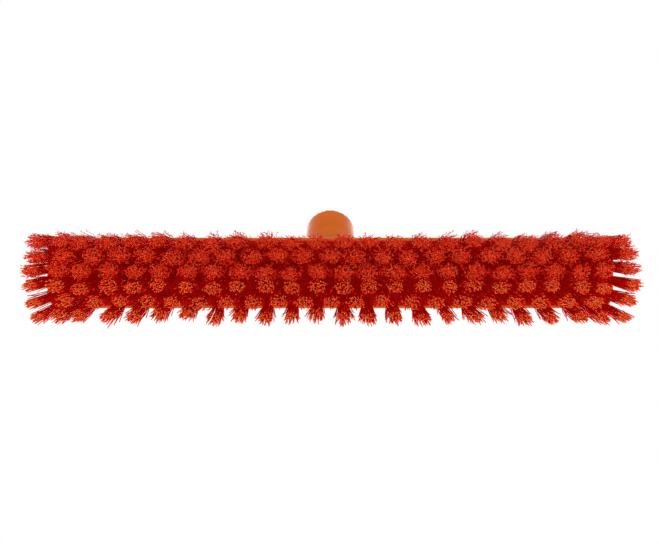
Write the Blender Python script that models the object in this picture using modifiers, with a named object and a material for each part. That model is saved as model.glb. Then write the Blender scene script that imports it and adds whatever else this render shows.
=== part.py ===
"""Push broom head: a moulded block with a slanted handle socket, and six rows of bristle tufts.

Metres, +Z up. The head stands on its bristle tips in the plane z = 0, X runs along the block, and
the handle socket leans towards +Y. Three rows on the socket's side are soft, the other three stiff.
"""
import math
from collections import namedtuple

import bmesh
import bpy
from mathutils import Matrix, Vector

# Block
BLOCK_LENGTH = 0.400
BLOCK_WIDTH = 0.050
CORNER_RADIUS = 0.010
LOWER_EDGE_RADIUS = 0.002
SIDE_HEIGHT = 0.013          # upright part of the block's side, above its underside
CROWN_RISE = 0.014           # the arched top rises this much above the upright side
CROWN_END_ANGLE = math.radians(80)
CROWN_FLAT = 0.0005          # half the straight part left across each end of the crown
CORNER_GROWTH = 0.45         # the corners grow rounder towards the top
CORNER_STEPS = 7
CROWN_STEPS = 7
LOWER_EDGE_STEPS = 3

# Handle socket, measured along its axis from where that axis meets the underside
SOCKET_TILT = math.radians(26.5)     # from vertical, towards +Y
SOCKET_LENGTH = 0.0633
SOCKET_START = 0.013
SOCKET_RIM_RADIUS = 0.0175
SOCKET_BASE_RADIUS = 0.0190
SOCKET_LIP = 0.0012
BORE_RADIUS = 0.0115
BORE_DEPTH = 0.038
BORE_CHAMFER = 0.0015
TURNED_STEPS = 32

# Bristle tufts
BRISTLE_LENGTH = 0.063       # from the tips up to the block's underside
HOLE_DEPTH = 0.014
HOLE_RADIUS = 0.00275
FIT_GAP = 0.0003             # all round a tuft in its hole
PITCH = 0.0174               # along a row
REGULAR_TUFTS = 10           # evenly spaced tufts from the middle to each end
END_TUFTS = 2                # closer and leaning tufts at each end
ROW_SPREAD = 1.28            # the rows are this much further apart at their tips
TIP_HALF_WIDTH = 0.0066
TIP_HALF_DEPTH = 0.0048
TIP_OVERLAP = 0.0005         # tufts in one group brush together by this much each
GROUP_GAP = 0.0003           # half the least gap between tips of two groups
TUFT_SIDES = 8
TUFTS_PER_GROUP = 3

BLOCK_ORANGE = (0.610, 0.140, 0.030)
SOFT_RED = (0.500, 0.040, 0.012)
STIFF_RED = (0.540, 0.060, 0.015)

# A row of tufts: its place across the underside, and where its outermost tuft starts and ends.
Row = namedtuple("Row", "name colour root_y tufts end_root_x end_tip_x")
ROWS = (
    Row("soft_tufts_a", SOFT_RED, 0.020, 24, 0.1870, 0.1920),
    Row("soft_tufts_b", SOFT_RED, 0.012, 23, 0.1855, 0.1955),
    Row("soft_tufts_c", SOFT_RED, 0.004, 24, 0.1910, 0.1980),
    Row("stiff_tufts_d", STIFF_RED, -0.004, 24, 0.1910, 0.1980),
    Row("stiff_tufts_e", STIFF_RED, -0.012, 23, 0.1855, 0.1955),
    Row("stiff_tufts_f", STIFF_RED, -0.020, 24, 0.1870, 0.1920),
)

# A tuft's middle at the underside and at its tip, and how wide its tip is towards -X and +X.
Tuft = namedtuple("Tuft", "root tip left right")


def clear_scene():
    for obj in list(bpy.data.objects):
        bpy.data.objects.remove(obj, do_unlink=True)


def make_collection(name):
    collection = bpy.data.collections.new(name)
    bpy.context.scene.collection.children.link(collection)
    return collection


def make_material(name, colour, roughness, metallic=0.0):
    material = bpy.data.materials.new(name)
    material.use_nodes = True
    shader = material.node_tree.nodes["Principled BSDF"]
    shader.inputs["Base Color"].default_value = (*colour, 1.0)
    shader.inputs["Roughness"].default_value = roughness
    shader.inputs["Metallic"].default_value = metallic
    return material


def add_object(name, mesh, collection, root, material=None):
    obj = bpy.data.objects.new(name, mesh)
    collection.objects.link(obj)
    obj.parent = root
    if material:
        mesh.materials.append(material)
    return obj


def add_cutter(name, mesh, collection, root):
    cutter = add_object(name, mesh, collection, root)
    cutter.hide_render = True
    cutter.display_type = "WIRE"
    return cutter


def add_boolean(obj, operation, other):
    modifier = obj.modifiers.new(other.name, "BOOLEAN")
    modifier.operation = operation
    modifier.solver = "EXACT"
    modifier.object = other


def bmesh_to_mesh(bm, name):
    mesh = bpy.data.meshes.new(name)
    bm.to_mesh(mesh)
    bm.free()
    return mesh


def shade_round(mesh, angle):
    mesh.shade_smooth()
    mesh.set_sharp_from_angle(angle=math.radians(angle))


# Block ------------------------------------------------------------------------------------------

def rounded_rectangle(inset, radius, height):
    """The block's plan outline, drawn in by an inset, at a height above the underside."""
    middle_x = BLOCK_LENGTH / 2 - inset - radius
    middle_y = BLOCK_WIDTH / 2 - inset - radius
    points = []
    for corner in range(4):
        sign_x = 1 if corner in (0, 3) else -1
        sign_y = 1 if corner in (0, 1) else -1
        for step in range(CORNER_STEPS + 1):
            angle = math.radians(90) * (corner + step / CORNER_STEPS)
            x = sign_x * middle_x + radius * math.cos(angle)
            y = sign_y * middle_y + radius * math.sin(angle)
            points.append(Vector((x, y, BRISTLE_LENGTH + height)))
    return points


def block_sections():
    """Outlines from the underside up: the rounded lower edge, the upright side and the crown."""
    sections = []
    for step in range(LOWER_EDGE_STEPS + 1):
        angle = math.radians(90) * step / LOWER_EDGE_STEPS
        inset = LOWER_EDGE_RADIUS * (1 - math.sin(angle))
        height = LOWER_EDGE_RADIUS * (1 - math.cos(angle))
        sections.append(rounded_rectangle(inset, CORNER_RADIUS - inset, height))
    for step in range(CROWN_STEPS + 1):
        angle = CROWN_END_ANGLE * step / CROWN_STEPS
        inset = BLOCK_WIDTH / 2 * (1 - math.cos(angle))
        height = SIDE_HEIGHT + CROWN_RISE * math.sin(angle)
        widest = BLOCK_WIDTH / 2 - inset - CROWN_FLAT
        radius = min(CORNER_RADIUS + CORNER_GROWTH * inset, widest)
        sections.append(rounded_rectangle(inset, radius, height))
    return sections


def block_mesh():
    """A loft through the block's outlines, closed at the underside and at the top."""
    bm = bmesh.new()
    rings = [[bm.verts.new(point) for point in section] for section in block_sections()]
    for lower, upper in zip(rings, rings[1:]):
        for i, corner in enumerate(lower):
            j = (i + 1) % len(lower)
            bm.faces.new((corner, lower[j], upper[j], upper[i]))
    bm.faces.new(reversed(rings[0]))
    bm.faces.new(rings[-1])
    mesh = bmesh_to_mesh(bm, "block")
    shade_round(mesh, 35)
    return mesh


# Socket -----------------------------------------------------------------------------------------

def turned_mesh(name, profile):
    """A profile of radius and distance along the axis, from its far end back to its start."""
    bm = bmesh.new()
    verts = [bm.verts.new((radius, 0, along)) for radius, along in profile]
    for start, end in zip(verts, verts[1:]):
        bm.edges.new((start, end))
    return bmesh_to_mesh(bm, name)


def add_turned(name, profile, collection, root):
    """A solid turned about the socket's axis."""
    obj = add_cutter(name, turned_mesh(name, profile), collection, root)
    screw = obj.modifiers.new("turn", "SCREW")
    screw.steps = TURNED_STEPS
    screw.render_steps = TURNED_STEPS
    screw.use_merge_vertices = True
    screw.merge_threshold = 0.00001
    obj.location = (0, 0, BRISTLE_LENGTH)
    obj.rotation_euler = (-SOCKET_TILT, 0, 0)
    return obj


def socket_profile():
    return (
        (0, SOCKET_LENGTH),
        (SOCKET_RIM_RADIUS - SOCKET_LIP, SOCKET_LENGTH),
        (SOCKET_RIM_RADIUS - SOCKET_LIP * 0.3, SOCKET_LENGTH - SOCKET_LIP * 0.3),
        (SOCKET_RIM_RADIUS, SOCKET_LENGTH - SOCKET_LIP),
        (SOCKET_BASE_RADIUS, SOCKET_START),
        (0, SOCKET_START),
    )


def bore_profile():
    above = SOCKET_LENGTH + 0.002
    floor = SOCKET_LENGTH - BORE_DEPTH
    return (
        (0, above),
        (BORE_RADIUS + BORE_CHAMFER, above),
        (BORE_RADIUS + BORE_CHAMFER, SOCKET_LENGTH),
        (BORE_RADIUS, SOCKET_LENGTH - BORE_CHAMFER),
        (BORE_RADIUS, floor),
        (0, floor),
    )


# Tufts ------------------------------------------------------------------------------------------

def half_row(row):
    """Root and tip distances from the middle to one end of a row."""
    first = 0 if row.tufts % 2 else PITCH / 2
    places = [(first + PITCH * i, first + PITCH * i) for i in range(REGULAR_TUFTS)]
    last = places[-1][0]
    for i in range(1, END_TUFTS + 1):
        share = i / END_TUFTS
        root = last + (row.end_root_x - last) * share
        lean = (row.end_tip_x - row.end_root_x) * share
        places.append((root, root + lean))
    return places


def full_row(row):
    """Root and tip places of a whole row, from its -X end to its +X end."""
    half = half_row(row)
    mirrored = [(-root, -tip) for root, tip in reversed(half) if root > 0]
    return mirrored + half


def tip_reach(places, group, index, side):
    """How far a tip spreads towards one neighbour: into it in its own group, clear of others."""
    other = index + side
    if not 0 <= other < len(places):
        return TIP_HALF_WIDTH
    half_distance = abs(places[other][1] - places[index][1]) / 2
    if other in group:
        return half_distance + TIP_OVERLAP
    return min(TIP_HALF_WIDTH, half_distance - GROUP_GAP)


def row_groups(row):
    """The tufts of a row, in groups of neighbours."""
    places = full_row(row)
    groups = []
    for start in range(0, len(places), TUFTS_PER_GROUP):
        group = range(start, min(start + TUFTS_PER_GROUP, len(places)))
        tufts = []
        for i in group:
            root_x, tip_x = places[i]
            root = Vector((root_x, row.root_y, BRISTLE_LENGTH))
            tip = Vector((tip_x, row.root_y * ROW_SPREAD, 0))
            left = tip_reach(places, group, i, -1)
            right = tip_reach(places, group, i, 1)
            tufts.append(Tuft(root, tip, left, right))
        groups.append(tufts)
    return groups


def middle_at(tuft, z):
    """The tuft's middle at a height, on the straight line through its tip and its root."""
    return tuft.tip.lerp(tuft.root, z / BRISTLE_LENGTH)


def add_prism(bm, low, high):
    """An upright prism with flat sides towards X and Y, one unit from its axis."""
    turn = Matrix.Rotation(math.pi / TUFT_SIDES, 4, "Z")
    lift = Matrix.Translation((0, 0, (low + high) / 2))
    corner = 1 / math.cos(math.pi / TUFT_SIDES)
    made = bmesh.ops.create_cone(
        bm, cap_ends=True, segments=TUFT_SIDES, radius1=corner, radius2=corner,
        depth=high - low, matrix=lift @ turn)
    return made["verts"]


def shape_ring(verts, tuft, left, right, depth):
    """Sizes unit points about the tuft's middle at their own height."""
    for vert in verts:
        middle = middle_at(tuft, vert.co.z)
        vert.co.x = middle.x + vert.co.x * (right if vert.co.x > 0 else left)
        vert.co.y = middle.y + vert.co.y * depth


def add_tuft(bm, tuft):
    """A straight root that fills the hole, then a flare down to a wide flat tip."""
    radius = HOLE_RADIUS - FIT_GAP
    verts = add_prism(bm, 0, BRISTLE_LENGTH)
    tip_ring = [v for v in verts if v.co.z < BRISTLE_LENGTH / 2]
    root_ring = [v for v in verts if v.co.z > BRISTLE_LENGTH / 2]
    shape_ring(tip_ring, tuft, tuft.left, tuft.right, TIP_HALF_DEPTH)
    shape_ring(root_ring, tuft, radius, radius, radius)
    cap = next(f for f in root_ring[0].link_faces if all(v in root_ring for v in f.verts))
    raised = bmesh.ops.extrude_face_region(bm, geom=[cap])["geom"]
    bmesh.ops.delete(bm, geom=[cap], context="FACES_ONLY")
    root_end = BRISTLE_LENGTH + HOLE_DEPTH - FIT_GAP
    offset = middle_at(tuft, root_end) - tuft.root
    raised_verts = [item for item in raised if isinstance(item, bmesh.types.BMVert)]
    bmesh.ops.translate(bm, verts=raised_verts, vec=offset)


def tuft_mesh(name, tufts):
    bm = bmesh.new()
    for tuft in tufts:
        add_tuft(bm, tuft)
    mesh = bmesh_to_mesh(bm, name)
    shade_round(mesh, 50)
    return mesh


def hole_mesh(tufts):
    """Every tuft's blind hole, each leaning as its tuft does."""
    bm = bmesh.new()
    for tuft in tufts:
        verts = add_prism(bm, BRISTLE_LENGTH - 0.001, BRISTLE_LENGTH + HOLE_DEPTH)
        shape_ring(verts, tuft, HOLE_RADIUS, HOLE_RADIUS, HOLE_RADIUS)
    return bmesh_to_mesh(bm, "tuft_holes")


# Assembly ---------------------------------------------------------------------------------------

def build_block(parts, cutters, root, tufts):
    orange = make_material("moulded_orange", BLOCK_ORANGE, 0.38)
    block = add_object("block", block_mesh(), parts, root, orange)
    add_boolean(block, "UNION", add_turned("socket_body", socket_profile(), cutters, root))
    add_boolean(block, "DIFFERENCE", add_turned("socket_bore", bore_profile(), cutters, root))
    holes = add_cutter("tuft_holes", hole_mesh(tufts), cutters, root)
    add_boolean(block, "DIFFERENCE", holes)
    return block


def build_row(row, parts, cutters, root):
    """One object for each group of neighbours: its second tuft, joined to those beside it."""
    objects = []
    for number, tufts in enumerate(row_groups(row), start=1):
        name = f"{row.name}_{number}"
        bristle = make_material(name, row.colour, 0.45)
        obj = add_object(name, tuft_mesh(name, tufts[1:2]), parts, root, bristle)
        sides = tuft_mesh(f"{name}_sides", tufts[:1] + tufts[2:])
        others = add_cutter(f"{name}_sides", sides, cutters, root)
        add_boolean(obj, "UNION", others)
        objects.append(obj)
    return objects


def centre_over_origin(objects, root):
    """Moves the whole head so that the origin lies below the middle of its outer box."""
    bpy.context.view_layer.update()
    graph = bpy.context.evaluated_depsgraph_get()
    corners = []
    for obj in objects:
        box = obj.evaluated_get(graph).bound_box
        corners += [obj.matrix_world @ Vector(corner) for corner in box]
    for axis in (0, 1):
        values = [corner[axis] for corner in corners]
        root.location[axis] -= (min(values) + max(values)) / 2
    bpy.context.view_layer.update()


def main():
    clear_scene()
    parts = make_collection("push_broom_head")
    cutters = make_collection("cutters")
    root = bpy.data.objects.new("head_frame", None)
    parts.objects.link(root)
    tufts = [tuft for row in ROWS for group in row_groups(row) for tuft in group]
    objects = [build_block(parts, cutters, root, tufts)]
    for row in ROWS:
        objects += build_row(row, parts, cutters, root)
    centre_over_origin(objects, root)


main()
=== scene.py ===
"""Looks of the push broom head: a moulded orange block and its rows of soft and stiff bristles.

Metres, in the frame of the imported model. The head stands on its bristle tips on the floor, and the
camera looks up at those tips.
"""

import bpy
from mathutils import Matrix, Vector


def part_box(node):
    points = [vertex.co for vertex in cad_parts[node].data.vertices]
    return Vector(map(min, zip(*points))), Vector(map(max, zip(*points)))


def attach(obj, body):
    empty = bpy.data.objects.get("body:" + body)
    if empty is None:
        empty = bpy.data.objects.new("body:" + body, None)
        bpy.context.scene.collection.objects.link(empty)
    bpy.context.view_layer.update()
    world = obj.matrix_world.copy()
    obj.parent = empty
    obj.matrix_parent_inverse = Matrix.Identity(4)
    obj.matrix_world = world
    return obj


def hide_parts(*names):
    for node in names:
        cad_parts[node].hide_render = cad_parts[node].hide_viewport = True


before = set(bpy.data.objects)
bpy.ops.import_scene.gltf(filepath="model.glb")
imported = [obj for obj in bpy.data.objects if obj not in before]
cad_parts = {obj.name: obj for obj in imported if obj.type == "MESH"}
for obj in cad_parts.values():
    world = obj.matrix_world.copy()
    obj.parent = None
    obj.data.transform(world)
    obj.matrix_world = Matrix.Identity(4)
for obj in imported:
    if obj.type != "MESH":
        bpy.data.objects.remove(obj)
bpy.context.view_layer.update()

import math
from dataclasses import dataclass

import bmesh
import bpy
import numpy as np
from mathutils import Matrix, Vector

ROWS = ("soft_tufts_a", "soft_tufts_b", "soft_tufts_c",
        "stiff_tufts_d", "stiff_tufts_e", "stiff_tufts_f")
GROUPS_PER_ROW = 8

# Block, as in the CAD model but with finer steps
BLOCK_WIDTH = 0.050
CORNER_RADIUS = 0.010
LOWER_EDGE_RADIUS = 0.002
SIDE_HEIGHT = 0.013
CROWN_RISE = 0.014
CROWN_END_ANGLE = math.radians(80)
CROWN_FLAT = 0.0005
CORNER_GROWTH = 0.45
CORNER_STEPS = 14
CROWN_STEPS = 20
LOWER_EDGE_STEPS = 4
VOXEL = 0.0010               # the moulding is remeshed this finely before its holes are cut
SMOOTHING = 0.5              # how far each round of smoothing moves a point
SMOOTHING_ROUNDS = 4
SHARP_ANGLE = math.radians(40)

# Socket, measured along its axis from where that axis meets the underside
SOCKET_TILT = math.radians(26.5)
SOCKET_LENGTH = 0.0633
SOCKET_START = 0.013
SOCKET_RIM_RADIUS = 0.0175
SOCKET_BASE_RADIUS = 0.0190
BORE_RADIUS = 0.0115
BORE_DEPTH = 0.038
BORE_CHAMFER = 0.0015
BORE_CUT_PAST_RIM = 0.003
TURNED_STEPS = 96

# Soft fillet where the socket grows out of the crown
FILLET_SMOOTHING = 0.6
FILLET_ROUNDS = 45
FILLET_REACH = 0.010         # out from the socket's wall
FILLET_BOTTOM = SIDE_HEIGHT * 0.6
FILLET_FADE_IN = 0.006
FILLET_TOP = 0.046           # along the socket's axis
FILLET_FADE_OUT = 0.008

# Handle thread: a ridge with a narrow crest and a wider root, which is sunk in the bore's wall
THREAD_PITCH = 0.0042
THREAD_DEPTH = 0.0011
THREAD_HALF_ROOT = 0.0011
THREAD_HALF_CREST = 0.0004
THREAD_SUNK = 0.0004
THREAD_FROM_FLOOR = 0.004
THREAD_FROM_RIM = 0.005
THREAD_STEPS_PER_TURN = 48
THREAD_RUN_OUT = 1 / 6       # share of its length over which each end fades into the wall
THREAD_LEAST = 0.05          # share of its depth that is left at the very ends

# Tuft holes, and the wire anchors at their bottoms
HOLE_DEPTH = 0.014
HOLE_RADIUS = 0.00275
HOLE_SIDES = 20
HOLE_CUT_PAST_MOUTH = 0.002
ANCHOR_DEPTH = HOLE_DEPTH * 0.86
ANCHOR_SIZE = (HOLE_RADIUS * 1.8, 0.0004, 0.0020)
ANCHOR_EDGE = 0.0001

# Tufts
BUNDLE_RADIUS = 0.0025       # in the hole and at its mouth
ROOT_DEPTH = 0.8 * HOLE_DEPTH
FLARE = 0.45                 # below 1, a bundle widens more near its root than near its tips
TUFT_WIDTHS = (0.85, 1.15)   # least and most, as a share of the usual width
TUFT_WANDER = 0.0007
END_TUFT_ZONE = 0.012        # tips this near the block's ends, or past them, are the end tufts'
END_TUFT_NARROWING = 0.78
EDGE_DRAW_IN = 0.0005        # for the outer soft row's tips

# Filaments
GOLDEN_ANGLE = math.radians(137.508)
JITTER = 0.05                # how unevenly the filaments of a tuft are spread
PATH_SHARES = (0.0, 0.18, 0.42, 0.66, 0.86, 1.0)    # places along a filament, from mouth to tip
MOUTH_ALONG = 0.04           # colours run from 0 at the root to 1 at the tip, and pass the mouth here
BOW = 0.6                    # how far filaments bow out halfway, next to how far their tips stray
SPLAY_START = 0.8            # filaments turn outwards over the rest of their length
THICKNESSES = (0.85, 1.12)   # least and most, as a share of the usual thickness
SCATTERED_LIGHT = 0.05       # a faint red glow, for light that scatters through many filaments
SHADES = 24                  # strips of the strand map, one for each shade of filament
STRIP_WOBBLE = 0.3           # how far points are spread across their strip
STRIP_TURN = 2.4             # keeps neighbouring points apart in it
MAP_MARGIN = 0.02

# Split ends of the soft filaments
SPLIT_START = 0.15           # the stem stops this far along its last stretch
SPLIT_SIDES = 4
SPLIT_SHARES = (0.0, 0.35, 0.7, 1.0)                # places along a split end
SPLIT_ALONG = (0.1, 0.4, 0.7, 1.0)                  # how far on the colours are at each
SPLIT_THICKNESSES = (0.62, 0.62, 0.75, 1.10)        # there, as a share of the filament's
SPLIT_CURVE = 1.5
SPLIT_TRIM = 0.0011


@dataclass(frozen=True)
class Filaments:
    """What the filaments of one kind of tuft are like."""
    count: int
    radius: float
    sides: int               # of a filament's outline
    spread: tuple            # half the width of a tuft's tips along X and Y
    crowd: float             # 0.5 spreads the tips evenly, and more gathers them in the middle
    bend: float              # how far a filament strays from its even place
    splay: float             # how far the tips of the outer filaments turn outwards
    strays: float            # share of filaments that stand out from the tuft
    reach: float             # how far out the furthest of them stand, as a share of the spread
    rise: float              # how far above the tips the highest of them end
    trim: float              # how unevenly the tips are cut
    end_reach: float         # how much further out the tips of the row's end tufts stand
    splits: int              # split ends of a filament
    fan: float               # how far they fan out


SOFT = Filaments(
    count=170, radius=0.00019, sides=3, spread=(0.0064, 0.0045), crowd=0.70, bend=0.0007,
    splay=0.0003, strays=0.18, reach=1.30, rise=0.020, trim=0.0030, end_reach=0.0017,
    splits=3, fan=0.00050)
STIFF = Filaments(
    count=88, radius=0.00033, sides=5, spread=(0.0050, 0.0038), crowd=0.54, bend=0.0006,
    splay=0.0004, strays=0.13, reach=1.50, rise=0.024, trim=0.0022, end_reach=0.0027,
    splits=0, fan=0.0)

# Colours from root to tip: orange at the tip, and deeper, darker red towards the root, which is
# painted shade and red bounce light deep in the tufts
STEM_PAINTED_SHADE = ((0.00, (0.70, 0.005, 0.002)), (0.50, (0.68, 0.008, 0.003)))
SOFT_TIP_COLOURS_AND_SHADE = STEM_PAINTED_SHADE + (
    (0.80, (0.56, 0.010, 0.004)), (0.94, (0.46, 0.020, 0.007)), (1.00, (0.42, 0.066, 0.021)))
STIFF_TIP_COLOURS_AND_SHADE = STEM_PAINTED_SHADE + (
    (0.80, (0.52, 0.013, 0.004)), (0.94, (0.34, 0.030, 0.007)), (1.00, (0.28, 0.125, 0.031)))

rng = np.random.default_rng(20)


# Frame ------------------------------------------------------------------------------------------

LEVEL = 0.0001               # points this near a height are on it

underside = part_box("block")[0].z
block_low, block_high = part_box("block")
block_length = block_high.x - block_low.x
row_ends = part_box("soft_tufts_a_1")[1].y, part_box("stiff_tufts_f_1")[0].y
middle_y = sum(row_ends) / 2


def clusters(points, gap=0.003):
    """Splits points into groups along X, wherever two neighbours are further apart than the gap."""
    points = sorted(points, key=lambda point: point.x)
    groups = [[points[0]]]
    for last, point in zip(points, points[1:]):
        if point.x - last.x > gap:
            groups.append([])
        groups[-1].append(point)
    return [sum(group, Vector()) / len(group) for group in groups]


def tuft_axes(node):
    """Each tuft's middle at the underside and at its tip, read from the CAD node's roots."""
    points = [vert.co.copy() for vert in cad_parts[node].data.vertices]
    top = max(point.z for point in points)
    ends = clusters([point for point in points if point.z > top - LEVEL])
    necks = clusters([point for point in points if abs(point.z - underside) < LEVEL])
    axes = []
    for end, neck in zip(ends, necks):
        lean = (neck - end) / (end.z - neck.z)
        axes.append((neck, neck + lean * neck.z))
    return axes


# Node trees -------------------------------------------------------------------------------------

class Tree:
    """A short way to write a node tree."""

    def __init__(self, material):
        self.nodes = material.node_tree.nodes
        self.links = material.node_tree.links
        self.shader = self.nodes.get("Principled BSDF")

    def add(self, kind, **settings):
        node = self.nodes.new(kind)
        for name, value in settings.items():
            setattr(node, name, value)
        return node

    def link(self, source, target):
        self.links.new(source, target)

    def noise(self, coordinates, scale, detail, roughness=0.5):
        node = self.add("ShaderNodeTexNoise")
        node.inputs["Scale"].default_value = scale
        node.inputs["Detail"].default_value = detail
        node.inputs["Roughness"].default_value = roughness
        self.link(coordinates, node.inputs["Vector"])
        return node.outputs["Fac"]

    def remap(self, value, low, high, new_low, new_high):
        node = self.add("ShaderNodeMapRange")
        for name, number in zip(("From Min", "From Max", "To Min", "To Max"),
                                (low, high, new_low, new_high)):
            node.inputs[name].default_value = number
        self.link(value, node.inputs["Value"])
        return node.outputs["Result"]

    def ramp(self, value, stops):
        node = self.add("ShaderNodeValToRGB")
        band = node.color_ramp
        while len(band.elements) < len(stops):
            band.elements.new(0.5)
        for element, (place, colour) in zip(band.elements, stops):
            element.position = place
            element.color = (*colour, 1.0)
        self.link(value, node.inputs["Fac"])
        return node.outputs["Color"]

    def mix(self, share, first, second):
        node = self.add("ShaderNodeMix", data_type="RGBA")
        for socket, value in ((node.inputs[0], share), (node.inputs[6], first),
                              (node.inputs[7], second)):
            if isinstance(value, bpy.types.NodeSocket):
                self.link(value, socket)
            else:
                socket.default_value = value
        return node.outputs[2]

    def math(self, operation, first, second):
        node = self.add("ShaderNodeMath", operation=operation)
        for socket, value in zip(node.inputs, (first, second)):
            if isinstance(value, bpy.types.NodeSocket):
                self.link(value, socket)
            else:
                socket.default_value = value
        return node.outputs["Value"]

    def bump(self, height, strength, distance):
        node = self.add("ShaderNodeBump")
        node.inputs["Strength"].default_value = strength
        node.inputs["Distance"].default_value = distance
        self.link(height, node.inputs["Height"])
        return node.outputs["Normal"]


def new_material(name):
    material = bpy.data.materials.new(name)
    material.use_nodes = True
    return material, Tree(material)


def underside_painted_shade(tree, place):
    """One on the underside among the tufts, where the shade and red bounce light of the bristles are
    painted, and none elsewhere.
    """
    edge = BLOCK_WIDTH / 2
    parts = tree.add("ShaderNodeSeparateXYZ")
    tree.link(place, parts.inputs["Vector"])
    low = tree.remap(parts.outputs["Z"], underside + 0.0003, underside + 0.0012, 1.0, 0.0)
    off_middle = tree.math("ABSOLUTE", tree.math("SUBTRACT", parts.outputs["Y"], middle_y), 0.0)
    across = tree.remap(off_middle, edge - 0.0025, edge - 0.0010, 1.0, 0.0)
    return tree.math("MULTIPLY", low, across)


def moulded_plastic():
    """Satin orange polypropylene: faint flow marks, a fine orange-peel skin and small scuffs, and
    painted shade and red bounce light on the underside among the tufts.
    """
    material, tree = new_material("moulded_orange_plastic")
    place = tree.add("ShaderNodeTexCoord").outputs["Object"]
    stretch = tree.add("ShaderNodeMapping")
    stretch.inputs["Scale"].default_value = (1.0, 3.0, 3.0)
    tree.link(place, stretch.inputs["Vector"])
    flow = tree.noise(stretch.outputs["Vector"], scale=14.0, detail=4.0)
    orange = tree.ramp(flow, ((0.30, (0.520, 0.092, 0.002)), (0.72, (0.585, 0.118, 0.002))))
    # painted shade: the underside among the tufts is coloured deep red, for the shade and red bounce
    # light that the bristles throw on it
    painted_shade = underside_painted_shade(tree, place)
    speckle = tree.noise(place, scale=700.0, detail=3.0, roughness=0.7)
    painted_red_shade = tree.ramp(speckle, ((0.35, (0.20, 0.001, 0.0005)), (0.65, (0.46, 0.002, 0.001))))
    colour = tree.mix(painted_shade, orange, painted_red_shade)
    scuffs = tree.noise(stretch.outputs["Vector"], scale=420.0, detail=5.0, roughness=0.65)
    rough = tree.math("MAXIMUM", tree.remap(scuffs, 0.35, 0.75, 0.30, 0.46), painted_shade)
    skin = tree.noise(place, scale=900.0, detail=2.0)
    ripples = tree.noise(place, scale=60.0, detail=2.0)
    height = tree.math("ADD", tree.math("MULTIPLY", ripples, 0.5), skin)
    shader = tree.shader
    tree.link(colour, shader.inputs["Base Color"])
    tree.link(rough, shader.inputs["Roughness"])
    tree.link(tree.bump(height, strength=0.12, distance=0.0002), shader.inputs["Normal"])
    shader.inputs["Specular IOR Level"].default_value = 0.09
    return material


def bristle(name, colours, roughness, shine):
    """Filament plastic that turns from deep red at the root to orange at the tip: the orange is the
    filament's own colour, and the deep red towards the root is painted shade and red bounce light
    deep in the tuft.
    """
    material, tree = new_material(name)
    along = tree.add("ShaderNodeAttribute", attribute_name="along").outputs["Fac"]
    shade = tree.add("ShaderNodeAttribute", attribute_name="shade").outputs["Fac"]
    moved = tree.math("ADD", along, tree.remap(shade, 0.0, 1.0, -0.07, 0.02))
    # painted shade: the ramp darkens and reddens each filament towards its root, for the shade and
    # red bounce light deep in the tuft
    colour = tree.ramp(moved, colours)
    darker = tree.mix(tree.remap(shade, 0.0, 1.0, 0.0, 0.30), colour, (0.50, 0.004, 0.002, 1.0))
    inputs = tree.shader.inputs
    tree.link(darker, inputs["Base Color"])
    inputs["Roughness"].default_value = roughness
    inputs["Specular IOR Level"].default_value = shine
    inputs["Subsurface Weight"].default_value = 0.6
    inputs["Subsurface Radius"].default_value = (1.0, 0.10, 0.05)
    inputs["Subsurface Scale"].default_value = 0.003
    inputs["Emission Color"].default_value = (1.0, 0.004, 0.002, 1.0)
    inputs["Emission Strength"].default_value = SCATTERED_LIGHT
    return material


def anchor_wire():
    """Drawn stainless wire with fine streaks."""
    material, tree = new_material("anchor_wire")
    place = tree.add("ShaderNodeTexCoord").outputs["Object"]
    streaks = tree.noise(place, scale=2500.0, detail=2.0)
    grey = tree.ramp(streaks, ((0.3, (0.45, 0.45, 0.46)), (0.7, (0.62, 0.62, 0.63))))
    tree.link(grey, tree.shader.inputs["Base Color"])
    tree.shader.inputs["Metallic"].default_value = 1.0
    tree.shader.inputs["Roughness"].default_value = 0.32
    return material


# Meshes -----------------------------------------------------------------------------------------

def add_piece(name, mesh, material, slot, *nodes):
    """A finished piece of the head, which rides on its only body."""
    piece = bpy.data.objects.new(name, mesh)
    bpy.context.scene.collection.objects.link(piece)
    mesh.materials.clear()
    mesh.materials.append(material)
    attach(piece, "root")
    if nodes:
        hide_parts(*nodes)


def bmesh_to_mesh(bm, name):
    mesh = bpy.data.meshes.new(name)
    bm.to_mesh(mesh)
    bm.free()
    return mesh


def rounded_rectangle(inset, radius, height):
    """The block's plan outline, drawn in by an inset, at a height above the underside."""
    middle_x = block_length / 2 - inset - radius
    half_y = BLOCK_WIDTH / 2 - inset - radius
    points = []
    for corner in range(4):
        sign_x = 1 if corner in (0, 3) else -1
        sign_y = 1 if corner in (0, 1) else -1
        for step in range(CORNER_STEPS + 1):
            angle = math.radians(90) * (corner + step / CORNER_STEPS)
            x = sign_x * middle_x + radius * math.cos(angle)
            y = sign_y * half_y + radius * math.sin(angle)
            points.append(Vector((x, middle_y + y, underside + height)))
    return points


def block_sections():
    """Outlines from the underside up: the rounded lower edge, the upright side and the crown."""
    sections = []
    for step in range(LOWER_EDGE_STEPS + 1):
        angle = math.radians(90) * step / LOWER_EDGE_STEPS
        inset = LOWER_EDGE_RADIUS * (1 - math.sin(angle))
        height = LOWER_EDGE_RADIUS * (1 - math.cos(angle))
        sections.append(rounded_rectangle(inset, CORNER_RADIUS - inset, height))
    for step in range(CROWN_STEPS + 1):
        angle = CROWN_END_ANGLE * step / CROWN_STEPS
        inset = BLOCK_WIDTH / 2 * (1 - math.cos(angle))
        height = SIDE_HEIGHT + CROWN_RISE * math.sin(angle)
        widest = BLOCK_WIDTH / 2 - inset - CROWN_FLAT
        radius = min(CORNER_RADIUS + CORNER_GROWTH * inset, widest)
        sections.append(rounded_rectangle(inset, radius, height))
    return sections


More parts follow.
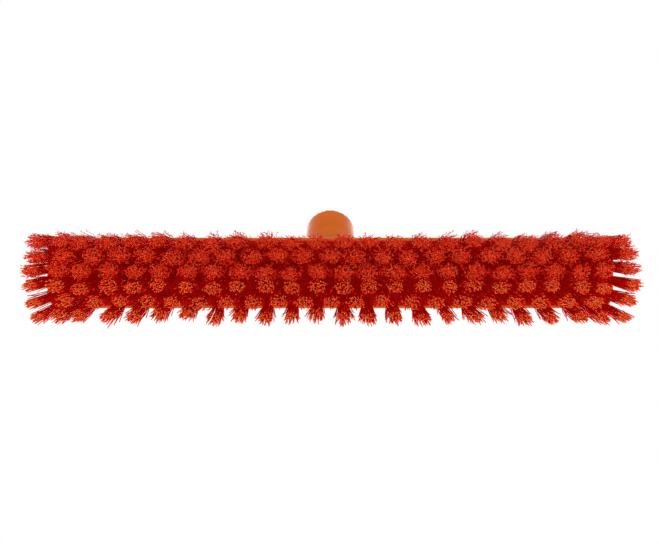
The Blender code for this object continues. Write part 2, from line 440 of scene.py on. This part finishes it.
def loft(sections):
    """A closed solid through outlines that all have equally many points."""
    bm = bmesh.new()
    rings = [[bm.verts.new(point) for point in section] for section in sections]
    for lower, upper in zip(rings, rings[1:]):
        for i, corner in enumerate(lower):
            j = (i + 1) % len(lower)
            bm.faces.new((corner, lower[j], upper[j], upper[i]))
    bm.faces.new(reversed(rings[0]))
    bm.faces.new(rings[-1])
    return bmesh_to_mesh(bm, "loft")


socket_frame = Matrix.Translation((0, middle_y, underside)) @ Matrix.Rotation(-SOCKET_TILT, 4, "X")


def turned(profile):
    """A closed solid turned about the socket's axis, from radius and distance pairs going up."""
    sections = []
    for radius, along in profile:
        ring = []
        for step in range(TURNED_STEPS):
            angle = math.tau * step / TURNED_STEPS
            point = Vector((radius * math.cos(angle), radius * math.sin(angle), along))
            ring.append(socket_frame @ point)
        sections.append(ring)
    return loft(sections)


def socket_body():
    """The socket without its bore, from inside the block to the rim."""
    return turned((
        (SOCKET_BASE_RADIUS, SOCKET_START),
        (SOCKET_RIM_RADIUS, SOCKET_LENGTH),
    ))


def socket_bore():
    """What is cut out of the socket, with the chamfer at its mouth."""
    floor = SOCKET_LENGTH - BORE_DEPTH
    return turned((
        (BORE_RADIUS, floor),
        (BORE_RADIUS, SOCKET_LENGTH - BORE_CHAMFER),
        (BORE_RADIUS + BORE_CHAMFER, SOCKET_LENGTH),
        (BORE_RADIUS + BORE_CHAMFER, SOCKET_LENGTH + BORE_CUT_PAST_RIM),
    ))


def thread_ridge():
    """The handle thread: a ridge that winds down the bore, sunk a little into its wall."""
    low = SOCKET_LENGTH - BORE_DEPTH + THREAD_FROM_FLOOR
    high = SOCKET_LENGTH - THREAD_FROM_RIM
    turns = (high - low) / THREAD_PITCH
    steps = int(turns * THREAD_STEPS_PER_TURN)
    root = BORE_RADIUS + THREAD_SUNK
    bm = bmesh.new()
    rings = []
    for step in range(steps + 1):
        share = step / steps
        angle = math.tau * turns * share
        along = low + (high - low) * share
        fade = min(1.0, share / THREAD_RUN_OUT, (1 - share) / THREAD_RUN_OUT)
        crest = BORE_RADIUS - THREAD_DEPTH * max(fade, THREAD_LEAST)
        section = ((root, -THREAD_HALF_ROOT), (crest, -THREAD_HALF_CREST),
                   (crest, THREAD_HALF_CREST), (root, THREAD_HALF_ROOT))
        ring = []
        for radius, up in section:
            point = Vector((radius * math.cos(angle), radius * math.sin(angle), along + up))
            ring.append(bm.verts.new(socket_frame @ point))
        rings.append(ring)
    for lower, upper in zip(rings, rings[1:]):
        for i in range(4):
            j = (i + 1) % 4
            bm.faces.new((lower[i], lower[j], upper[j], upper[i]))
    bm.faces.new(rings[0])
    bm.faces.new(rings[-1])
    bmesh.ops.recalc_face_normals(bm, faces=bm.faces)
    return bmesh_to_mesh(bm, "thread")


def tuft_holes(axes):
    """Every tuft's blind hole, leaning with its tuft."""
    bm = bmesh.new()
    for neck, tip in axes:
        made = bmesh.ops.create_cone(
            bm, cap_ends=True, segments=HOLE_SIDES, radius1=HOLE_RADIUS, radius2=HOLE_RADIUS,
            depth=HOLE_DEPTH + HOLE_CUT_PAST_MOUTH)
        lean = (neck - tip) / neck.z
        for vert in made["verts"]:
            height = vert.co.z + HOLE_DEPTH / 2 - HOLE_CUT_PAST_MOUTH / 2
            middle = neck + lean * height
            vert.co = Vector((vert.co.x + middle.x, vert.co.y + middle.y, underside + height))
    return bmesh_to_mesh(bm, "holes")


def scratch_object(mesh):
    """A short-lived object, which a modifier can work on or with."""
    obj = bpy.data.objects.new("scratch", mesh)
    bpy.context.scene.collection.objects.link(obj)
    return obj


def evaluated(obj):
    """A plain copy of an object's mesh with its modifiers applied."""
    bpy.context.view_layer.update()
    graph = bpy.context.evaluated_depsgraph_get()
    return bpy.data.meshes.new_from_object(obj.evaluated_get(graph), depsgraph=graph)


def combine(mesh, *steps, voxel=None):
    """Cuts or joins a mesh with others, and then may remesh it into even small faces."""
    scratch = [scratch_object(mesh)]
    for operation, other in steps:
        scratch.append(scratch_object(other))
        modifier = scratch[0].modifiers.new(operation, "BOOLEAN")
        modifier.operation = operation
        modifier.solver = "MANIFOLD"
        modifier.object = scratch[-1]
    if voxel:
        remesh = scratch[0].modifiers.new("voxels", "REMESH")
        remesh.mode = "VOXEL"
        remesh.voxel_size = voxel
    result = evaluated(scratch[0])
    for obj in scratch:
        bpy.data.objects.remove(obj)
    return result


def relax(mesh, weights, rounds):
    """Moves each point towards the middle of its neighbours, by its weight, several times."""
    count = len(mesh.vertices)
    places = np.empty(count * 3)
    mesh.vertices.foreach_get("co", places)
    places = places.reshape(-1, 3)
    edges = np.empty(len(mesh.edges) * 2, dtype=np.int64)
    mesh.edges.foreach_get("vertices", edges)
    first, second = edges.reshape(-1, 2).T
    degree = np.bincount(first, minlength=count) + np.bincount(second, minlength=count)
    for _ in range(rounds):
        for axis in range(3):
            value = places[:, axis]
            total = np.bincount(first, weights=value[second], minlength=count)
            total += np.bincount(second, weights=value[first], minlength=count)
            places[:, axis] = value + weights * (total / degree - value)
    mesh.vertices.foreach_set("co", places.ravel())
    mesh.update()


def fillet_weights(mesh):
    """High where the socket grows out of the crown, and none away from it."""
    count = len(mesh.vertices)
    places = np.empty(count * 3)
    mesh.vertices.foreach_get("co", places)
    places = places.reshape(-1, 3)
    local = (np.array(socket_frame.inverted()) @ np.c_[places, np.ones(count)].T).T
    radius = np.hypot(local[:, 0], local[:, 1])
    height = places[:, 2] - underside
    near = np.clip(1 - (radius - SOCKET_BASE_RADIUS) / FILLET_REACH, 0, 1)
    above = np.clip((height - FILLET_BOTTOM) / FILLET_FADE_IN, 0, 1)
    below_rim = np.clip((FILLET_TOP - local[:, 2]) / FILLET_FADE_OUT, 0, 1)
    return FILLET_SMOOTHING * near * above * below_rim


def build_block(axes, material):
    """The moulding: crown and socket joined and smoothed, then bored, threaded and holed."""
    body = combine(loft(block_sections()), ("UNION", socket_body()), voxel=VOXEL)
    relax(body, fillet_weights(body), FILLET_ROUNDS)
    relax(body, np.full(len(body.vertices), SMOOTHING), SMOOTHING_ROUNDS)
    mesh = combine(body, ("DIFFERENCE", socket_bore()), ("UNION", thread_ridge()),
                   ("DIFFERENCE", tuft_holes(axes)))
    mesh.name = "moulded_block"
    mesh.shade_smooth()
    mesh.set_sharp_from_angle(angle=SHARP_ANGLE)
    add_piece("moulded_block", mesh, material, "moulded_orange", "block")


# Bristles ---------------------------------------------------------------------------------------

def unit(vectors):
    """Vectors in the same directions, each one long."""
    return vectors / np.linalg.norm(vectors, axis=-1, keepdims=True)


def tubes(paths, radii, sides):
    """Points of round tubes along paths: one ring of sides points at each path point."""
    count, steps, _ = paths.shape
    run = unit(np.gradient(paths, axis=1))
    turn = rng.uniform(0, math.tau, count)
    guide = np.stack([np.cos(turn), np.sin(turn), np.zeros(count)], axis=1)[:, None, :]
    across = unit(np.cross(run, guide))
    over = np.cross(run, across)
    angle = (math.tau * np.arange(sides) / sides)[:, None]
    ring = across[:, :, None, :] * np.cos(angle) + over[:, :, None, :] * np.sin(angle)
    return paths[:, :, None, :] + ring * radii[:, :, None, None]


def tube_faces(count, steps, sides, start):
    """Quads along each tube, and its two end caps, as lists of point numbers."""
    tube = start + np.arange(count)[:, None, None] * steps * sides
    step = np.arange(steps - 1)[None, :, None] * sides
    side = np.arange(sides)[None, None, :]
    after = (side + 1) % sides
    low = tube + step
    quads = np.stack([low + side, low + after, low + sides + after, low + sides + side], axis=-1)
    caps_low = tube[:, 0, :] + np.arange(sides)[::-1]
    caps_high = tube[:, 0, :] + (steps - 1) * sides + np.arange(sides)
    return quads.reshape(-1, 4), np.concatenate([caps_low, caps_high])


class Strands:
    """Collects tubes and makes them one mesh, with how far along and which shade each point is."""

    def __init__(self):
        self.points, self.along, self.shade = [], [], []
        self.faces = []
        self.total = 0

    def add(self, paths, radii, sides, along, shade):
        count, steps, _ = paths.shape
        points = tubes(paths, radii, sides)
        self.points.append(points.reshape(-1, 3))
        self.along.append(np.repeat(along.reshape(-1), sides))
        self.shade.append(np.repeat(shade, steps * sides))
        self.faces += tube_faces(count, steps, sides, self.total)
        self.total += count * steps * sides

    def mesh(self, name):
        points = np.concatenate(self.points)
        corners = np.concatenate([faces.reshape(-1) for faces in self.faces])
        sizes = np.concatenate([np.full(len(faces), faces.shape[1]) for faces in self.faces])
        mesh = bpy.data.meshes.new(name)
        mesh.vertices.add(len(points))
        mesh.vertices.foreach_set("co", points.ravel())
        mesh.loops.add(len(corners))
        mesh.loops.foreach_set("vertex_index", corners.astype(np.int32))
        mesh.polygons.add(len(sizes))
        starts = np.concatenate([[0], np.cumsum(sizes)[:-1]])
        mesh.polygons.foreach_set("loop_start", starts.astype(np.int32))
        mesh.update(calc_edges=True)
        along = np.concatenate(self.along)
        shade = np.concatenate(self.shade)
        for label, values in (("along", along), ("shade", shade)):
            attribute = mesh.attributes.new(label, "FLOAT", "POINT")
            attribute.data.foreach_set("value", values.astype(np.float32))
        strand_map(mesh, corners, along, shade)
        mesh.shade_smooth()
        return mesh


def strand_map(mesh, corners, along, shade):
    """A map with one narrow strip for each shade, running from root to tip."""
    layer = mesh.uv_layers.new(name="OFBake")
    strip = np.round(shade * (SHADES - 1))
    wobble = 0.5 + STRIP_WOBBLE * np.cos(np.arange(len(shade)) * STRIP_TURN)
    u = (strip + wobble) / SHADES
    v = MAP_MARGIN + (1 - 2 * MAP_MARGIN) * np.clip(along, 0, 1)
    layer.data.foreach_set("uv", np.stack([u, v], axis=1)[corners].ravel().astype(np.float32))


def spread_points(count, centre, half):
    """Evenly spread points in an ellipse, a little jittered: a sunflower pattern."""
    order = np.arange(count) + 0.5
    distance = np.sqrt(order / count)
    angle = order * GOLDEN_ANGLE + rng.uniform(0, math.tau)
    distance = distance * (1 + rng.normal(0, JITTER, count))
    offset = np.stack([distance * np.cos(angle), distance * np.sin(angle)], axis=1)
    return centre + offset * half, offset


def tip_ellipse(tip, kind):
    """The middle of a tuft's tips, seen from below, and half their width along X and Y."""
    half = np.array(kind.spread) * rng.uniform(*TUFT_WIDTHS, 2)
    middle = np.array(tip[:2]) + rng.normal(0, TUFT_WANDER, 2)
    if tip.y > middle_y + BLOCK_WIDTH / 2:
        middle[1] -= EDGE_DRAW_IN
    if abs(tip.x) > block_length / 2 - END_TUFT_ZONE:
        middle[0] += math.copysign(kind.end_reach, tip.x)
        half[1] *= END_TUFT_NARROWING
    return middle, half


def filament_paths(neck, tip, kind):
    """Paths from inside the hole, out of its mouth in a tight bundle, and out to the trimmed tips.

    The strays stand further out than the rest, and end at any height above the tips.
    """
    count = kind.count
    root, offset = spread_points(count, np.array(neck[:2]), np.full(2, BUNDLE_RADIUS))
    offset *= np.linalg.norm(offset, axis=1, keepdims=True) ** (2 * kind.crowd - 1)
    middle, half = tip_ellipse(tip, kind)
    stray = rng.random(count) < kind.strays
    rim = offset / np.linalg.norm(offset, axis=1, keepdims=True)
    offset[stray] = rim[stray] * rng.uniform(1.0, kind.reach, (stray.sum(), 1))
    ends = middle + offset * half + rng.normal(0, kind.bend, (count, 2))
    rise = np.where(stray, kind.rise * rng.random(count), 0.0)
    rise += np.abs(rng.normal(0, kind.trim / 2, count))
    bow = rng.normal(0, kind.bend, (count, 2))
    splay = offset * kind.splay
    paths = np.empty((count, len(PATH_SHARES) + 1, 3))
    along = np.empty((count, len(PATH_SHARES) + 1))
    lean = np.array(((neck - tip) / neck.z)[:2])
    paths[:, 0, :2] = root + lean * ROOT_DEPTH
    paths[:, 0, 2] = underside + ROOT_DEPTH
    along[:, 0] = 0.0
    for i, part in enumerate(PATH_SHARES, start=1):
        turned_out = (max(0.0, part - SPLAY_START) / (1 - SPLAY_START)) ** 2
        swing = bow * math.sin(math.pi * part) * BOW + splay * turned_out
        paths[:, i, :2] = root + (ends - root) * part ** FLARE + swing
        paths[:, i, 2] = underside * (1 - part) + rise * part
        along[:, i] = MOUTH_ALONG + (1 - MOUTH_ALONG) * part * (1 - rise / underside)
    return paths, along


def add_tuft(strands, neck, tip, kind):
    """A tuft's filaments. Where they have split ends, the filament itself stops short of its tip."""
    paths, along = filament_paths(neck, tip, kind)
    count, steps, _ = paths.shape
    shade = rng.integers(0, SHADES, count) / (SHADES - 1)
    thick = kind.radius * rng.uniform(*THICKNESSES, (count, 1)) * np.ones((1, steps))
    tips, tips_along = paths[:, -1].copy(), along[:, -1:].copy()
    if kind.splits:
        paths[:, -1] = paths[:, -2] + (tips - paths[:, -2]) * SPLIT_START
        along[:, -1:] = along[:, -2:-1] + (tips_along - along[:, -2:-1]) * SPLIT_START
    strands.add(paths, thick, kind.sides, along, shade)
    for _ in range(kind.splits):
        path = split_paths(paths[:, -1], tips, kind)
        split_along = along[:, -1:] + (tips_along - along[:, -1:]) * np.array([SPLIT_ALONG])
        radii = thick[:, :1] * np.array([SPLIT_THICKNESSES])
        strands.add(path, radii, SPLIT_SIDES, split_along, shade)


def split_paths(stems, tips, kind):
    """One split end for each filament, from where its stem stops to near its tip."""
    count = len(stems)
    fan = rng.normal(0, kind.fan, (count, 2))
    path = np.empty((count, len(SPLIT_SHARES), 3))
    for i, part in enumerate(SPLIT_SHARES):
        path[:, i] = stems + (tips - stems) * part
        path[:, i, :2] += fan * part ** SPLIT_CURVE
    path[:, -1, 2] += np.abs(rng.normal(0, SPLIT_TRIM, count))
    return path


def build_tufts(row, number, kind, material, slot):
    """The filaments of one CAD node's tufts, as one piece. Gives the tufts' axes."""
    node = f"{row}_{number}"
    strands = Strands()
    axes = tuft_axes(node)
    for neck, tip in axes:
        add_tuft(strands, neck, tip, kind)
    add_piece(f"{node}_filaments", strands.mesh(node), material, slot, node)
    return axes


def build_anchors(axes, material):
    """A short flat wire across the bottom of each hole, which the filaments are folded over."""
    bm = bmesh.new()
    for neck, tip in axes:
        lean = (neck - tip) / neck.z
        place = neck + lean * ANCHOR_DEPTH
        place.z = underside + ANCHOR_DEPTH
        size = Matrix.Diagonal((*ANCHOR_SIZE, 1.0))
        made = bmesh.ops.create_cube(bm, size=1.0, matrix=Matrix.Translation(place) @ size)
        edges = {edge for vert in made["verts"] for edge in vert.link_edges}
        bmesh.ops.bevel(bm, geom=list(edges), offset=ANCHOR_EDGE, segments=2, affect="EDGES")
    add_piece("wire_anchors", bmesh_to_mesh(bm, "wire_anchors"), material, "moulded_orange")


# Studio -----------------------------------------------------------------------------------------

CAMERA_DISTANCE = 0.935
CAMERA_TILT = math.radians(3.5)      # the camera looks up, and this much towards -Y
AIM_X = 0.0005
AIM_Y = 0.0048                       # from the middle of the rows, at the tips
SENSOR_WIDTH = 36.0
LENS_PER_SENSOR = 2.150
FLOOR_HALF_WIDTH = 6.0
FLOOR_GAP = 0.0004                   # between the floor and the tips


def add_camera():
    """A camera below the floor, which looks up at the bristle tips."""
    data = bpy.data.cameras.new("camera")
    data.sensor_width = SENSOR_WIDTH
    data.lens = SENSOR_WIDTH * LENS_PER_SENSOR
    camera = bpy.data.objects.new("camera", data)
    bpy.context.scene.collection.objects.link(camera)
    sine, cosine = math.sin(CAMERA_TILT), math.cos(CAMERA_TILT)
    aim = Vector((AIM_X, middle_y + AIM_Y, 0))
    forward = Vector((0, -sine, cosine))
    right = Vector((-1, 0, 0))
    up = Vector((0, cosine, sine))
    turn = Matrix((right, up, -forward)).transposed().to_4x4()
    camera.matrix_world = Matrix.Translation(aim - forward * CAMERA_DISTANCE) @ turn
    bpy.context.scene.camera = camera


def add_softbox(name, place, size, power, aim=(0, 0, 0.04)):
    """A lamp with a rectangular face, turned towards the head."""
    data = bpy.data.lights.new(name, "AREA")
    data.shape = "RECTANGLE"
    data.size, data.size_y = size
    data.energy = power
    lamp = bpy.data.objects.new(name, data)
    bpy.context.scene.collection.objects.link(lamp)
    lamp.location = place
    lamp.rotation_euler = (Vector(aim) - Vector(place)).to_track_quat("-Z", "Y").to_euler()


def add_overhead_sun(strength):
    """Soft light from straight above, the same all over the floor."""
    data = bpy.data.lights.new("overhead_sun", "SUN")
    data.energy = strength
    data.angle = math.radians(50)
    data.specular_factor = 0.0
    lamp = bpy.data.objects.new("overhead_sun", data)
    bpy.context.scene.collection.objects.link(lamp)


def add_world():
    """White wherever the camera sees it. As light it is strongest from straight below the head."""
    world = bpy.data.worlds.new("studio")
    world.use_nodes = True
    bpy.context.scene.world = world
    tree = Tree(world)
    background = tree.nodes["Background"]
    background.inputs["Color"].default_value = (1, 1, 1, 1)
    parts = tree.add("ShaderNodeSeparateXYZ")
    tree.link(tree.add("ShaderNodeTexCoord").outputs["Generated"], parts.inputs["Vector"])
    seen = tree.add("ShaderNodeLightPath").outputs["Is Camera Ray"]
    below = tree.remap(parts.outputs["Z"], -1.0, 0.0, 1.20, 0.40)
    above = tree.remap(parts.outputs["Z"], 0.70, 0.95, 0.42, 0.80)
    around = tree.math("MAXIMUM", below, above)
    tree.link(tree.math("MAXIMUM", seen, around), background.inputs["Strength"])


def add_floor():
    """A pale floor that is open from below, so that the camera under it sees the bristle tips."""
    material, tree = new_material("pale_floor")
    tree.shader.inputs["Base Color"].default_value = (0.80, 0.80, 0.79, 1)
    tree.shader.inputs["Roughness"].default_value = 0.7
    clear = tree.add("ShaderNodeBsdfTransparent")
    sided = tree.add("ShaderNodeMixShader")
    tree.link(tree.add("ShaderNodeNewGeometry").outputs["Backfacing"], sided.inputs[0])
    tree.link(tree.shader.outputs[0], sided.inputs[1])
    tree.link(clear.outputs[0], sided.inputs[2])
    tree.link(sided.outputs[0], tree.nodes["Material Output"].inputs["Surface"])
    bm = bmesh.new()
    bmesh.ops.create_grid(bm, x_segments=1, y_segments=1, size=FLOOR_HALF_WIDTH)
    mesh = bmesh_to_mesh(bm, "floor")
    mesh.materials.append(material)
    floor = bpy.data.objects.new("floor", mesh)
    bpy.context.scene.collection.objects.link(floor)
    floor.location.z = -FLOOR_GAP
    floor.visible_shadow = False
    floor.visible_diffuse = False
    floor.visible_glossy = False
    floor.visible_transmission = False


def add_studio():
    add_world()
    add_floor()
    add_softbox("tip_light", (0.05, -0.05, -1.50), (0.7, 0.7), 26.0)
    add_softbox("front_light", (0.15, -0.60, -1.10), (1.2, 0.6), 3.0)
    add_softbox("back_light", (-0.15, 0.60, -1.10), (1.2, 0.6), 4.0)
    add_softbox("left_light", (2.40, -0.40, 1.00), (1.2, 1.6), 28.0)
    add_softbox("right_light", (-2.40, -0.40, 1.00), (1.2, 1.6), 28.0)
    add_overhead_sun(1.5)
    bpy.context.scene.view_settings.view_transform = "Standard"


# Assembly ---------------------------------------------------------------------------------------

def main():
    add_camera()
    soft = bristle("soft_bristle", SOFT_TIP_COLOURS_AND_SHADE, roughness=0.60, shine=0.03)
    stiff = bristle("stiff_bristle", STIFF_TIP_COLOURS_AND_SHADE, roughness=0.50, shine=0.05)
    axes = []
    for row in ROWS:
        is_soft = row.startswith("soft")
        kind, material = (SOFT, soft) if is_soft else (STIFF, stiff)
        slot = "soft_bristle" if is_soft else "stiff_bristle"
        for number in range(1, GROUPS_PER_ROW + 1):
            axes += build_tufts(row, number, kind, material, slot)
    build_anchors(axes, anchor_wire())
    build_block(axes, moulded_plastic())
    add_studio()


main()
bpy.context.view_layer.update()
